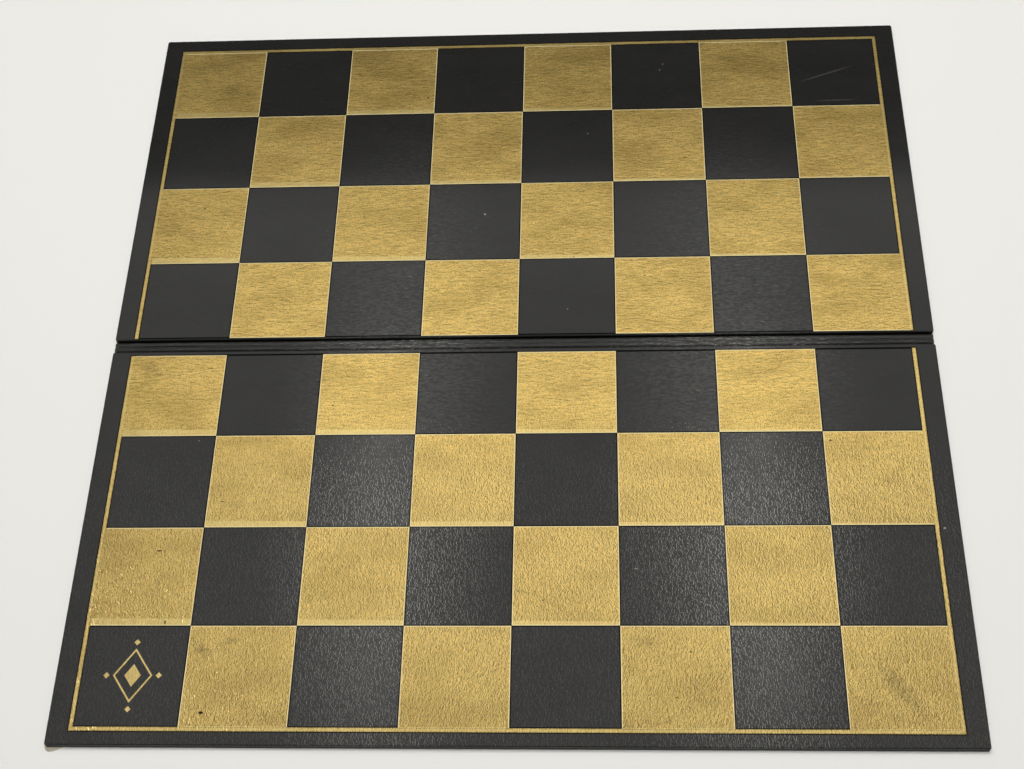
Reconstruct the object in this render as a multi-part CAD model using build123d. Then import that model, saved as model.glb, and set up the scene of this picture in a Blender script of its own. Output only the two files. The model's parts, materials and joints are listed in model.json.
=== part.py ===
from build123d import *
import math
import os

# A folding chess board that lies open on a table, playing side up.
# X runs along the hinge, +Y points to the far half and +Z is up.
# The origin is under the middle of the hinge, at table level.
# All sizes are in millimetres.

# The printed field
square_size = 54.0
hinge_rank_depth = 50.6
frame_line_width = 2.0
print_gap = 0.2
print_drift = 0.85
side_border = 11.0
end_border = 8.05
hinge_border = 1.85

# The sheets
board_thickness = 2.85
covering_thickness = 0.4
lining_thickness = 0.25
backing_thickness = 0.35
foil_thickness = 0.08
foil_recess = 0.04

# The covering's edges and turn-ins
corner_radius = 1.2
edge_softness = 0.3
bottom_edge_radius = 0.3
turn_in_width = 16.0
turn_in_gap = 0.3
mitre_slit_width = 0.4

# The lining paper and the hinge cloth
lining_inset = 6.0
lining_hinge_inset = 5.0
flap_width = 14.0
flap_end_inset = 1.5

# The hinge
strip_thickness = 0.7
strip_end_inset = 0.6
fold_clearance = 0.25
closed_face_gap = 3.0
ridge_clearance = 0.3
ridge_drop = 0.9
ridge_crease_depth = 0.3

# The corner ornament
ornament_width = 20.0
ornament_height = 28.0
ornament_line = 0.9
ornament_core_width = 8.4
ornament_core_height = 11.8
ornament_bead = 3.2
ornament_bead_gap = 1.6

# The chess coordinates
files = "abcdefgh"
ranks_per_half = 4

# Levels above the table
turn_in_level = lining_thickness
board_level = turn_in_level + covering_thickness
covering_level = board_level + board_thickness
top_level = covering_level + covering_thickness
backing_level = board_level - backing_thickness
strip_level = board_level + strip_thickness
pivot_level = strip_level + fold_clearance
foil_level = top_level - foil_recess - foil_thickness

# Room for a cut to run past the faces that it opens
overcut = 1.0

# Sizes in plan
hinge_gap = 2 * (top_level - pivot_level) + closed_face_gap
field_width = len(files) * square_size
field_depth = hinge_rank_depth + (ranks_per_half - 1) * square_size
half_width = field_width / 2 + side_border
panel_start = hinge_gap / 2
panel_end = panel_start + hinge_border + field_depth + end_border
board_corner_radius = corner_radius - covering_thickness
top_edge_radius = covering_thickness + edge_softness

# Each half is drawn by its distance from the middle of the hinge
NEAR = -1
FAR = 1


def block(side, left, right, start, end, bottom, top):
    """A box between two distances from the hinge, on the near or the far side."""
    size = (right - left, end - start, top - bottom)
    middle = ((left + right) / 2, side * (start + end) / 2, (bottom + top) / 2)
    return Pos(*middle) * Box(*size)


def rank_lines(side):
    """Distances from the hinge at which the ranks begin and end."""
    first = panel_start + hinge_border - side * print_drift
    second = first + hinge_rank_depth
    return [first] + [second + n * square_size for n in range(ranks_per_half)]


def board_panel(side):
    """The stiff core of one half."""
    inset = covering_thickness
    reach = half_width - inset
    panel = block(side, -reach, reach, panel_start + inset, panel_end - inset, board_level, covering_level)
    return fillet(panel.edges().filter_by(Axis.Z), board_corner_radius)


def cover(side, pockets):
    """The covering of one half, wrapped over the core and turned in on its back."""
    shell = block(side, -half_width, half_width, panel_start, panel_end, turn_in_level, top_level)
    shell = fillet(shell.edges().filter_by(Axis.Z), corner_radius)
    shell = fillet(shell.faces().sort_by(Axis.Z)[-1].edges(), top_edge_radius)
    shell = fillet(shell.faces().sort_by(Axis.Z)[0].edges(), bottom_edge_radius)
    shell -= board_panel(side)
    shell -= turn_in_window(side)
    shell -= flap_recess(side)
    shell -= mitre_slits(side)
    for pocket in pockets:
        for recess in pocket.solids():
            shell -= recess
    return shell


def turn_in_window(side):
    """The part of the back that the turn-ins leave open."""
    reach = half_width - turn_in_width
    return block(side, -reach, reach, panel_start, panel_end - turn_in_width, 0, board_level)


def flap_recess(side):
    """The strip beside the hinge that the turn-ins leave to the hinge cloth."""
    reach = half_width - covering_thickness
    end = panel_start + flap_width + turn_in_gap
    return block(side, -reach, reach, panel_start - overcut, end, 0, board_level)


def mitre_slits(side):
    """The slits where two turn-ins meet, from just inside an outer corner to the window."""
    slits = []
    outer = corner_radius
    inner = turn_in_width + overcut
    middle = (outer + inner) / 2
    length = (inner - outer) * math.sqrt(2)
    for edge in (-1, 1):
        place = Pos(edge * (half_width - middle), side * (panel_end - middle), board_level / 2)
        turn = Rot(0, 0, 45 * edge * side)
        slits.append(place * turn * Box(length, mitre_slit_width, board_level))
    return slits


def lining_paper(side):
    """The paper glued over the back: it dips between the turn-ins and up to the core."""
    reach = half_width - lining_inset
    start = panel_start + lining_hinge_inset
    sheet = block(side, -reach, reach, start, panel_end - lining_inset, 0, lining_thickness)
    reach = half_width - turn_in_width - turn_in_gap
    start = panel_start + flap_width + turn_in_gap
    end = panel_end - turn_in_width - turn_in_gap
    tray = block(side, -reach, reach, start, end, 0, board_level)
    wall = lining_thickness
    ceiling = board_level - lining_thickness
    hollow = block(side, wall - reach, reach - wall, start + wall, end - wall, -overcut, ceiling)
    return sheet + tray - hollow


def hinge_flap(side):
    """The hinge cloth glued under one panel."""
    reach = half_width - flap_end_inset
    return block(side, -reach, reach, panel_start, panel_start + flap_width, backing_level, board_level)


def hinge_backing():
    """The hinge cloth that spans the gap."""
    reach = half_width - flap_end_inset
    half_span = panel_start - fold_clearance
    return block(FAR, -reach, reach, -half_span, half_span, backing_level, board_level)


def hinge_strip():
    """The covering pressed into the gap, buckled up in a ridge with a crease along it."""
    half_span = panel_start - fold_clearance
    ridge = closed_face_gap / 2 - ridge_clearance
    crest = top_level - ridge_drop
    crease = crest - ridge_crease_depth
    fold_radius = ridge + ridge_crease_depth - math.sqrt(2 * ridge * ridge_crease_depth)
    shoulder = crest - fold_radius
    with BuildLine(Plane.YZ) as outline:
        Polyline((0, board_level), (half_span, board_level), (half_span, strip_level), (ridge, strip_level))
        Line((ridge, strip_level), (ridge, shoulder))
        TangentArc((ridge, shoulder), (0, crease), tangent=(0, 1))
        mirror(about=Plane.XZ)
    return extrude(make_face(outline.edges()), amount=half_width - strip_end_inset, both=True)


def square_block(side, column, step, bottom, top):
    """One square of the field, less the frame line at the field's edge."""
    lines = rank_lines(side)
    start = lines[step] + (print_gap / 2 if step > 0 else 0)
    last = ranks_per_half - 1
    end = lines[step + 1] - (frame_line_width if step == last else print_gap / 2)
    left = column * square_size - field_width / 2
    right = left + square_size
    left += frame_line_width if column == 0 else print_gap / 2
    right -= frame_line_width if column == len(files) - 1 else print_gap / 2
    return block(side, left, right, start, end, bottom, top)


def gold_squares(side, bottom, top):
    """The foil squares of one half, by their chess names."""
    squares = {}
    for step in range(ranks_per_half):
        rank = ranks_per_half - step if side == NEAR else ranks_per_half + 1 + step
        for column, letter in enumerate(files):
            if (column + rank) % 2 == 0:
                squares[f"gold_square_{letter}{rank}"] = square_block(side, column, step, bottom, top)
    return squares


def gold_frame(side, bottom, top):
    """The line round three sides of one half's field."""
    lines = rank_lines(side)
    reach = field_width / 2
    inner = reach - frame_line_width
    frame = block(side, -reach, reach, lines[0], lines[-1], bottom, top)
    end = lines[-1] - frame_line_width
    return frame - block(side, -inner, inner, lines[0] - overcut, end, bottom, top)


def lozenge(width, height, bottom, top):
    """An upright lozenge, centred on the origin."""
    outline = Polyline((width / 2, 0), (0, height / 2), (-width / 2, 0), (0, -height / 2), close=True)
    return Pos(0, 0, bottom) * extrude(make_face(outline), amount=top - bottom)


def corner_ornament(bottom, top):
    """A plain ornament of lozenges in the dark square a1."""
    slant = math.hypot(ornament_width, ornament_height)
    inner_width = ornament_width - 2 * ornament_line * slant / ornament_height
    inner_height = ornament_height - 2 * ornament_line * slant / ornament_width
    ring = lozenge(ornament_width, ornament_height, bottom, top)
    ring -= lozenge(inner_width, inner_height, bottom, top)
    pieces = [ring, lozenge(ornament_core_width, ornament_core_height, bottom, top)]
    across = (ornament_width + ornament_bead) / 2 + ornament_bead_gap
    along = (ornament_height + ornament_bead) / 2 + ornament_bead_gap
    for place in ((across, 0), (-across, 0), (0, along), (0, -along)):
        pieces.append(Pos(*place) * lozenge(ornament_bead, ornament_bead, bottom, top))
    lines = rank_lines(NEAR)
    middle_x = -field_width / 2 + (square_size + frame_line_width) / 2
    middle_y = -(lines[-1] + lines[-2] - frame_line_width) / 2
    return Compound([Pos(middle_x, middle_y, 0) * piece for piece in pieces])


def prints(side, bottom, top):
    """Everything in gold on one half, between two levels."""
    name = "near" if side == NEAR else "far"
    pieces = gold_squares(side, bottom, top)
    pieces[f"{name}_gold_frame"] = gold_frame(side, bottom, top)
    if side == NEAR:
        pieces["gold_corner_ornament"] = corner_ornament(bottom, top)
    return pieces


def half(side):
    """All the pieces of one half, by name."""
    name = "near" if side == NEAR else "far"
    pockets = prints(side, foil_level, top_level + overcut)
    pieces = prints(side, foil_level, foil_level + foil_thickness)
    pieces[f"{name}_board_panel"] = board_panel(side)
    pieces[f"{name}_cover"] = cover(side, pockets.values())
    pieces[f"{name}_lining_paper"] = lining_paper(side)
    pieces[f"{name}_hinge_flap"] = hinge_flap(side)
    return pieces


board = {**half(NEAR), **half(FAR)}
board["hinge_backing"] = hinge_backing()
board["hinge_strip"] = hinge_strip()

os.makedirs("parts", exist_ok=True)
for name, piece in board.items():
    export_step(piece, f"parts/{name}.step")
print("hinge pivots at y", -panel_start, panel_start, "z", pivot_level)
print("board", 2 * half_width, "by", 2 * panel_end, "by", top_level)
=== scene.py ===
import bmesh
import bpy
import json
import math
from mathutils import Matrix, Vector, noise


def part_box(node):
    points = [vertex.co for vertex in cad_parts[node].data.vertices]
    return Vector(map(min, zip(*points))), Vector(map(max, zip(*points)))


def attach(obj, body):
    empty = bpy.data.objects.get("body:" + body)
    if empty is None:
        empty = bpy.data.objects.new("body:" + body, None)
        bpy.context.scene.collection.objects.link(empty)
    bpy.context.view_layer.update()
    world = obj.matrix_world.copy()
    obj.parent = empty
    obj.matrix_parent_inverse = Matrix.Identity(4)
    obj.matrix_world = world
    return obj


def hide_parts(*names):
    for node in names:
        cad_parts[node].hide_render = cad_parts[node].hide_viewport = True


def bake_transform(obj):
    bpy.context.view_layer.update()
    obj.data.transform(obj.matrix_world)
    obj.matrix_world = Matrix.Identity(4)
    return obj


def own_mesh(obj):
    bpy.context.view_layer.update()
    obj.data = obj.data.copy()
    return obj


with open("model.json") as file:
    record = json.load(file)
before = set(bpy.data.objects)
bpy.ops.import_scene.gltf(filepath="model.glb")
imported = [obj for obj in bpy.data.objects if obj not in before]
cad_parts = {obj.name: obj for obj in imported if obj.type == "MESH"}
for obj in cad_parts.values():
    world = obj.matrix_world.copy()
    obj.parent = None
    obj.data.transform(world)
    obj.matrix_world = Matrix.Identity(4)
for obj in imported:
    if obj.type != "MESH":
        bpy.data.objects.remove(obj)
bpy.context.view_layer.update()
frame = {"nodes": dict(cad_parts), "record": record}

# A folding chess board, open on a pale table, playing side up.
# X runs along the hinge, +Y points to the far half, +Z is up, and all sizes are in metres.

# The printed field
FILE_COUNT = 8
RANKS_PER_HALF = 4
SQUARE_SIZE = 0.054
HINGE_RANK_DEPTH = 0.0506
FRAME_LINE_WIDTH = 0.002

# The sheets, and their levels above the table
COVERING_THICKNESS = 0.0004
LINING_THICKNESS = 0.00025
CLOTH_THICKNESS = 0.00035
STRIP_THICKNESS = 0.0007
CORE_LEVEL = LINING_THICKNESS + COVERING_THICKNESS
CLOTH_LEVEL = CORE_LEVEL - CLOTH_THICKNESS
STRIP_FOOT_LEVEL = CORE_LEVEL + STRIP_THICKNESS

# The covering's edges, its turn-ins, and how it is pressed in
CORNER_RADIUS = 0.0012
TOP_EDGE_RADIUS = 0.0007
BOTTOM_EDGE_RADIUS = 0.0003
EDGE_SEGMENTS = 5
UNDERSIDE_SEGMENTS = 2
TURN_IN_WIDTH = 0.016
TURN_IN_GAP = 0.0003
MITRE_SLIT_WIDTH = 0.0004
PRESS_WIDTH = 0.00055
PRESS_DEPTH = 0.00005
POCKET_MARGIN = 0.00005
POCKET_DEPTH = 0.00013

# The foil
FOIL_RIM_WIDTH = 0.00042
OVERLAP_LEFT = 0.0041
OVERLAP_RIGHT = 0.0009
OVERLAP_EDGE = 0.00008
OVERLAP_RISE = 0.00001
FRAME_CORE_WIDTH = 0.0011

# The hinge
PIVOT_DISTANCE = 0.0038
FOLD_CLEARANCE = 0.0001
RIDGE_CREST = 0.00345
RIDGE_REACH = {"near": 0.0036, "far": 0.003}
RIDGE_SQUARENESS = 5
RIDGE_COLUMNS = 400
RIDGE_ROWS = 26
RIDGE_SINK = 0.00005
BED_INSET = 0.0003
CREASE_PLACE = -0.0003
CREASE_WIDTH = 0.0003
CREASE_DEPTH = 0.00005
CREASE_DEPTH_GAIN = 0.00028
HOLLOW_WIDTH = 0.0011
HOLLOW_DEPTH = 0.00006
HOLLOW_DEPTH_GAIN = 0.00016
DEEPER_FROM = 0.06
DEEPER_OVER = 0.12
FLAP_WIDTH = 0.014
CLOTH_SPLIT = 0.002
CLOTH_REACH = 0.2262
CLOTH_COLUMNS = 60
FLAP_ROWS = 64
MIDDLE_ROWS = 10

# The lining papers, and their rise between the turn-ins
LINING_INSET = 0.006
LINING_RISE = 0.0004
LINING_SLOPE = 0.0012
LINING_COLUMNS = 88
LINING_ROWS = 42
LOOSE_CORNER_SIZE = 0.03
LOOSE_CORNER_SHIFT = Vector((-0.0082, -0.0103, 0.0004))
LOOSE_CORNER_CURVE = 1.75
LOOSE_CORNER_ROUNDING = 0.0045
LOOSE_CORNER_SEGMENTS = 6

# Unevenness of the sheets, each as its height, waves per metre along X and Y, and slice of the noise.
# The ridge's crest and crease waver along the hinge alone, and the paper's height is a share of its rise.
CREST_WAVER = (0.00016, 26, 1.3)
CREASE_WAVER = (0.0004, 18, 5.9)
RIDGE_WRINKLES = (0.00005, 70, 1400, 2.0)
CLOTH_UNEVENNESS = (0.00004, 60, 300, 4.0)
LINING_UNEVENNESS = (0.12, 40, 40, 6.0)

# How upright a normal is at least on a level face and on one that is shaded flat,
# and at most on a plain wall and on a wrapped edge
LEVEL_NORMAL = 0.9
FLAT_NORMAL = 0.993
WALL_NORMAL = 0.1
EDGE_NORMAL = 0.3

# How close two places are that count as one, and how close to a corner a cut goes through it
SAME_PLACE = 1e-6
CUT_TOLERANCE = 1e-7

# The studio's lamps overhead, each as place x and y, level, width, length and power, and its side panels
LAMP_COLOUR = (1.0, 0.985, 0.95)
OVERHEAD_LAMPS = {
    "soft_ceiling": (0, 0.54, 1.2, 1.5, 0.98, 3.4),
    "far_ceiling": (0, 0.98, 1.19, 1.3, 0.3, 0.15),
    "left_strip": (-0.262, 0.43, 1.18, 0.01, 0.56, 0.15),
    "right_strip": (0.258, 0.43, 1.18, 0.01, 0.56, 0.15),
    "fill_panel": (0, 0.05, 2.2, 1.5, 1.5, 35)}
PANEL_PLACES = {"left_panel": (-2.0, -0.4, 1.4), "right_panel": (2.0, -0.4, 1.4)}
PANEL_SIZE = 1.4
PANEL_POWER = 34

# The backdrop: between which heights of a direction it gives way to the dim room,
# and between which distances from the origin the table fades into it
BACKDROP_COLOUR = (1.0, 1.0, 0.985, 1.0)
BACKDROP_STRENGTH = 0.8
ROOM_STRENGTH = 0.1
HORIZON = (0.25, 0.5)
TABLE_COLOUR = (0.95, 0.95, 0.935, 1)
TABLE_SIZE = 12.0
TABLE_FADE = (0.6, 1.6)

# The camera, by its place, its three directions, and its sensor and lens in millimetres
CAMERA_PLACE = (0.045264, -0.427639, 0.708012)
CAMERA_RIGHT = Vector((0.99821, 0.02093, -0.05601))
CAMERA_DOWN = Vector((-0.00949, -0.86939, -0.49404))
CAMERA_AHEAD = Vector((-0.05903, 0.49369, -0.86763))
CAMERA_SENSOR = 36.0
CAMERA_LENS = 52.484
CAMERA_CLIP = 0.01

# Colours
LEATHER_TONES = {
    "dark": (0.0135, 0.0134, 0.0128),
    "pale": (0.0165, 0.0164, 0.0156),
    # The next three are painted light: sheen in patches, sheen in streaks, and glints on the crests of the
    # grain
    "painted_sheen": (0.032, 0.032, 0.0305),
    "sheen_streak": (0.085, 0.0845, 0.081),
    "crest": (0.52, 0.52, 0.49)}
SCUFF_COLOUR = (0.3, 0.29, 0.26, 1)
# A painted glint for the foil's grain
PAINTED_GLINT_COLOUR = (1, 0.81, 0.38, 1)
SMUDGE_COLOUR = (0.17, 0.125, 0.06, 1)
SPECK_COLOUR = (0.02, 0.013, 0.008, 1)
PAPER_COLOURS = {"dark": (0.66, 0.6, 0.46, 1), "pale": (0.78, 0.73, 0.6, 1), "aged": (0.58, 0.5, 0.36, 1)}
CLOTH_COLOURS = {"dark": (0.006, 0.006, 0.006, 1), "pale": (0.03, 0.03, 0.029, 1)}
BOARD_COLOURS = {"dark": (0.25, 0.225, 0.19, 1), "pale": (0.4, 0.37, 0.32, 1),
                 "fleck": (0.09, 0.08, 0.07, 1)}

# The grain: where along Y the far kind begins and takes over, and the far kind's relief and slope
FAR_GRAIN_FROM = -0.1
FAR_GRAIN_TO = -0.015
FAR_GRAIN_RELIEF = 0.15
FAR_GRAIN_SLOPE = 0.42

# Grains per metre along X, Y and Z
UPRIGHT_GRAIN = (1180, 560, 1180)
LEVEL_GRAIN = (230, 760, 500)
PATCH_GRAIN = (130, 90, 130)
FINE_GRAIN = (1900, 1500, 1900)
NEAR_MOTTLE_GRAIN = (700, 480, 700)
FAR_MOTTLE_GRAIN = (170, 560, 170)
CLOUD_GRAIN = (26, 60, 40)
SHEEN_STREAK_GRAIN = (380, 1050, 380)

# Marks of use, and patches of painted sheen, each as place x and y, length and width in millimetres, turn in
# degrees and strength
FOIL_SPECKS = (
    (-183.8, -124.2, 2.8, 1.1, 5, 0.95), (-189.5, -136.7, 1.1, 0.8, 0, 0.8),
    (-175.5, -163.2, 0.9, 2.6, 8, 0.9),
    (-151.3, -210.0, 2.7, 1.6, 0, 1.0), (-154.0, -96.3, 1.1, 0.9, 0, 0.8), (-100.0, -38.8, 1.0, 1.2, 0, 0.9),
    (-86.3, -15.0, 0.9, 0.8, 0, 0.8), (-68.7, -145.3, 0.9, 0.8, 0, 0.8), (-80.5, -160.0, 1.1, 0.9, 30, 0.9),
    (-167.5, -23.0, 0.9, 0.8, 0, 0.7), (165.5, -62.5, 1.6, 1.2, 20, 0.9), (142.8, -118.3, 1.1, 0.9, 0, 0.8),
    (3.0, -146.7, 1.2, 0.9, 40, 0.8), (15.5, -151.7, 0.9, 0.8, 0, 0.7), (88.3, -178.7, 1.3, 1.0, 0, 0.8),
    (80.8, -201.7, 1.1, 0.9, 0, 0.8), (-58.3, 175.8, 1.3, 1.3, 0, 0.9), (-187.0, 94.7, 1.2, 1.1, 0, 0.8),
    (-198.3, 60.8, 1.2, 1.1, 0, 0.7), (-159.0, 49.5, 0.9, 0.9, 0, 0.7), (30.8, 56.2, 0.9, 0.9, 0, 0.7),
    (70.8, 43.0, 1.1, 1.0, 0, 0.8))
FOIL_SMUDGES = (
    (-204.0, -14.0, 17.0, 9.0, -30, 0.55), (-154.5, -178.0, 16.0, 7.0, -35, 0.8),
    (-141.5, -173.5, 12.0, 6.0, 20, 0.7), (72.5, -180.5, 1.6, 7.0, 0, 0.7),
    (65.0, -173.5, 20.0, 9.0, -15, 0.5), (189.0, -198.0, 44.0, 11.0, -55, 0.75),
    (-180.0, 186.7, 11.0, 12.0, 0, 0.35), (-208.0, -60.0, 12.0, 50.0, 0, 0.25),
    (40.0, -215.0, 60.0, 6.0, 0, 0.3), (-120.0, -160.0, 22.0, 8.0, 10, 0.3),
    (150.0, -215.0, 70.0, 8.0, 0, 0.3))
LEATHER_SCUFFS = (
    (218.8, -113.0, 1.5, 1.2, 0, 1.0), (-20.8, 87.2, 1.3, 1.3, 0, 1.0), (62.5, -134.7, 2.2, 0.7, 0, 0.8),
    (83.5, 194.0, 1.0, 1.0, 0, 0.7), (85.3, 198.7, 0.9, 0.9, 0, 0.7), (39.2, 145.5, 0.9, 0.9, 0, 0.6),
    (27.5, 21.2, 0.9, 0.8, 0, 0.7), (183.5, 188.0, 36.0, 1.2, 20, 0.13), (187.5, 167.3, 26.0, 1.0, 1, 0.12),
    (-171.0, -60.0, 1.0, 0.8, 0, 0.5), (112.0, -36.0, 0.8, 0.8, 0, 0.5))
# Patches of painted sheen on the dark squares, in the columns where the strip lamps' reflection falls
PAINTED_SHEEN_PATCHES = ((-66.0, -70.0, 130.0, 440.0, 0, 0.85), (118.0, -75.0, 140.0, 440.0, 0, 0.92))

# The halves, by the side of the hinge that they lie on
SIDES = {"near": -1, "far": 1}


# Materials

def new_material(name):
    """An empty node material and its tree."""
    made = bpy.data.materials.new(name)
    made.use_nodes = True
    made.node_tree.nodes.clear()
    return made, made.node_tree


def add_node(tree, kind, settings=None, **inputs):
    """A node whose sockets are set from values, or linked where an output socket is given."""
    node = tree.nodes.new(kind)
    for key, value in (settings or {}).items():
        setattr(node, key, value)
    for key, value in inputs.items():
        socket = node.inputs[key.replace("_", " ")]
        if isinstance(value, bpy.types.NodeSocket):
            tree.links.new(value, socket)
        else:
            socket.default_value = value
    return node


def calculate(tree, operation, *values):
    """A Math node's result."""
    node = tree.nodes.new("ShaderNodeMath")
    node.operation = operation
    for socket, value in zip(node.inputs, values):
        if isinstance(value, bpy.types.NodeSocket):
            tree.links.new(value, socket)
        else:
            socket.default_value = value
    return node.outputs[0]


def object_point(tree):
    """The point on the object, in metres."""
    return tree.nodes.new("ShaderNodeTexCoord").outputs["Object"]


def noise_value(tree, point, stretch, detail=2.0, roughness=0.5, distortion=0.0, shift=(0, 0, 0)):
    """Noise whose grains per metre are given along X, Y and Z, shifted by parts of a grain."""
    mapped = add_node(tree, "ShaderNodeMapping", Vector=point, Scale=stretch, Location=shift)
    grain = add_node(tree, "ShaderNodeTexNoise", Vector=mapped.outputs[0], Scale=1.0, Detail=detail,
                     Roughness=roughness, Distortion=distortion)
    return grain.outputs["Fac"]


def spread(tree, value, low, high, to_low=0.0, to_high=1.0):
    """A value's range, stretched smoothly to another and clamped."""
    node = add_node(tree, "ShaderNodeMapRange", {"interpolation_type": "SMOOTHSTEP"}, Value=value)
    for key, number in (("From Min", low), ("From Max", high), ("To Min", to_low), ("To Max", to_high)):
        node.inputs[key].default_value = number
    return node.outputs[0]


def blend_values(tree, factor, first, second):
    """Two numbers mixed by a factor."""
    node = tree.nodes.new("ShaderNodeMix")
    node.data_type = "FLOAT"
    for key, value in ((0, factor), (2, first), (3, second)):
        if isinstance(value, bpy.types.NodeSocket):
            tree.links.new(value, node.inputs[key])
        else:
            node.inputs[key].default_value = value
    return node.outputs[0]


def blend_colours(tree, factor, first, second):
    """Two colours mixed by a factor."""
    node = tree.nodes.new("ShaderNodeMix")
    node.data_type = "RGBA"
    for key, value in ((0, factor), (6, first), (7, second)):
        if isinstance(value, bpy.types.NodeSocket):
            tree.links.new(value, node.inputs[key])
        else:
            node.inputs[key].default_value = value
    return node.outputs[2]


def length_of(tree, vector):
    """A vector's length."""
    node = add_node(tree, "ShaderNodeVectorMath", {"operation": "LENGTH"})
    tree.links.new(vector, node.inputs[0])
    return node.outputs["Value"]


def finish_material(tree, colour, roughness, height, depth, metallic=0.0, specular=0.5):
    """The surface shader, with its bump."""
    shader = add_node(tree, "ShaderNodeBsdfPrincipled", Base_Color=colour, Roughness=roughness)
    shader.inputs["Metallic"].default_value = metallic
    shader.inputs["Specular IOR Level"].default_value = specular
    bump = add_node(tree, "ShaderNodeBump", Height=height, Strength=1.0, Distance=depth)
    tree.links.new(bump.outputs[0], shader.inputs["Normal"])
    output = tree.nodes.new("ShaderNodeOutputMaterial")
    tree.links.new(shader.outputs[0], output.inputs["Surface"])


def embossed_grain():
    """The grain rolled into the covering: upright wrinkles on the near half, fainter level ones beyond."""
    group = bpy.data.node_groups.new("embossed_grain", "ShaderNodeTree")
    for name in ("Height", "Slope", "Mottle", "Cloud", "Fine", "Distance", "Streaks"):
        group.interface.new_socket(name, in_out="OUTPUT", socket_type="NodeSocketFloat")
    point = object_point(group)
    depth = group.nodes.new("ShaderNodeSeparateXYZ")
    group.links.new(point, depth.inputs[0])
    distance = spread(group, depth.outputs["Y"], FAR_GRAIN_FROM, FAR_GRAIN_TO)
    upright = noise_value(group, point, UPRIGHT_GRAIN, detail=1.0, distortion=1.0)
    right_of = noise_value(group, point, UPRIGHT_GRAIN, detail=1.0, distortion=1.0, shift=(0.25, 0.02, 0))
    # The slope across the grain, which drives the painted shade and glints on its flanks
    near_slope = calculate(group, "SUBTRACT", right_of, upright)
    level = noise_value(group, point, LEVEL_GRAIN, detail=2.0, distortion=0.6)
    behind = noise_value(group, point, LEVEL_GRAIN, detail=2.0, distortion=0.6, shift=(0, 0.3, 0))
    far_slope = calculate(group, "MULTIPLY", calculate(group, "SUBTRACT", behind, level), FAR_GRAIN_SLOPE)
    far_wrinkles = calculate(group, "MULTIPLY", level, FAR_GRAIN_RELIEF)
    wrinkles = blend_values(group, distance, upright, far_wrinkles)
    patches = noise_value(group, point, PATCH_GRAIN, detail=2.0)
    near_mottle = noise_value(group, point, NEAR_MOTTLE_GRAIN, detail=2.0, roughness=0.6)
    far_mottle = noise_value(group, point, FAR_MOTTLE_GRAIN, detail=4.0, roughness=0.62)
    far_mottle = spread(group, far_mottle, 0.3, 0.68, 0.35, 0.52)
    # Streaks for the painted sheen on the far dark squares
    sheen_streaks = noise_value(group, point, SHEEN_STREAK_GRAIN, detail=3.0, roughness=0.6)
    output = group.nodes.new("NodeGroupOutput")
    outputs = {
        "Height": calculate(group, "MULTIPLY", wrinkles, spread(group, patches, 0.3, 0.65, 0.55, 1.0)),
        "Slope": blend_values(group, distance, near_slope, far_slope),
        "Mottle": blend_values(group, distance, near_mottle, far_mottle),
        "Cloud": noise_value(group, point, CLOUD_GRAIN, detail=3.0, roughness=0.55),
        "Fine": noise_value(group, point, FINE_GRAIN, detail=1.0),
        "Distance": distance,
        "Streaks": calculate(group, "MULTIPLY", spread(group, sheen_streaks, 0.36, 0.66), distance)}
    for name, value in outputs.items():
        group.links.new(value, output.inputs[name])
    return group


def mark_group(name, marks, ragged, soft):
    """How strongly any of these oval marks covers a point of the board."""
    group = bpy.data.node_groups.new(name, "ShaderNodeTree")
    group.interface.new_socket("Mark", in_out="OUTPUT", socket_type="NodeSocketFloat")
    point = object_point(group)
    waver = add_node(group, "ShaderNodeTexNoise", Vector=point, Scale=900.0, Detail=2.0)
    shift = add_node(group, "ShaderNodeVectorMath", {"operation": "MULTIPLY_ADD"})
    group.links.new(waver.outputs["Color"], shift.inputs[0])
    shift.inputs[1].default_value = (ragged, ragged, 0)
    group.links.new(point, shift.inputs[2])
    total = None
    for x, y, length, width, turn, strength in marks:
        middle = Vector((x / 1000 + ragged / 2, y / 1000 + ragged / 2, 0))
        local = add_node(group, "ShaderNodeMapping", {"vector_type": "TEXTURE"}, Vector=shift.outputs[0],
                         Location=middle, Rotation=(0, 0, math.radians(turn)),
                         Scale=(length / 2000, width / 2000, 1))
        shown = spread(group, length_of(group, local.outputs[0]), soft, 1.15, strength, 0.0)
        total = shown if total is None else calculate(group, "MAXIMUM", total, shown)
    output = group.nodes.new("NodeGroupOutput")
    group.links.new(total, output.inputs["Mark"])
    return group


def group_outputs(tree, group):
    """A shared node group's outputs, in a material's tree."""
    node = tree.nodes.new("ShaderNodeGroup")
    node.node_tree = group
    return node.outputs


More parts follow.
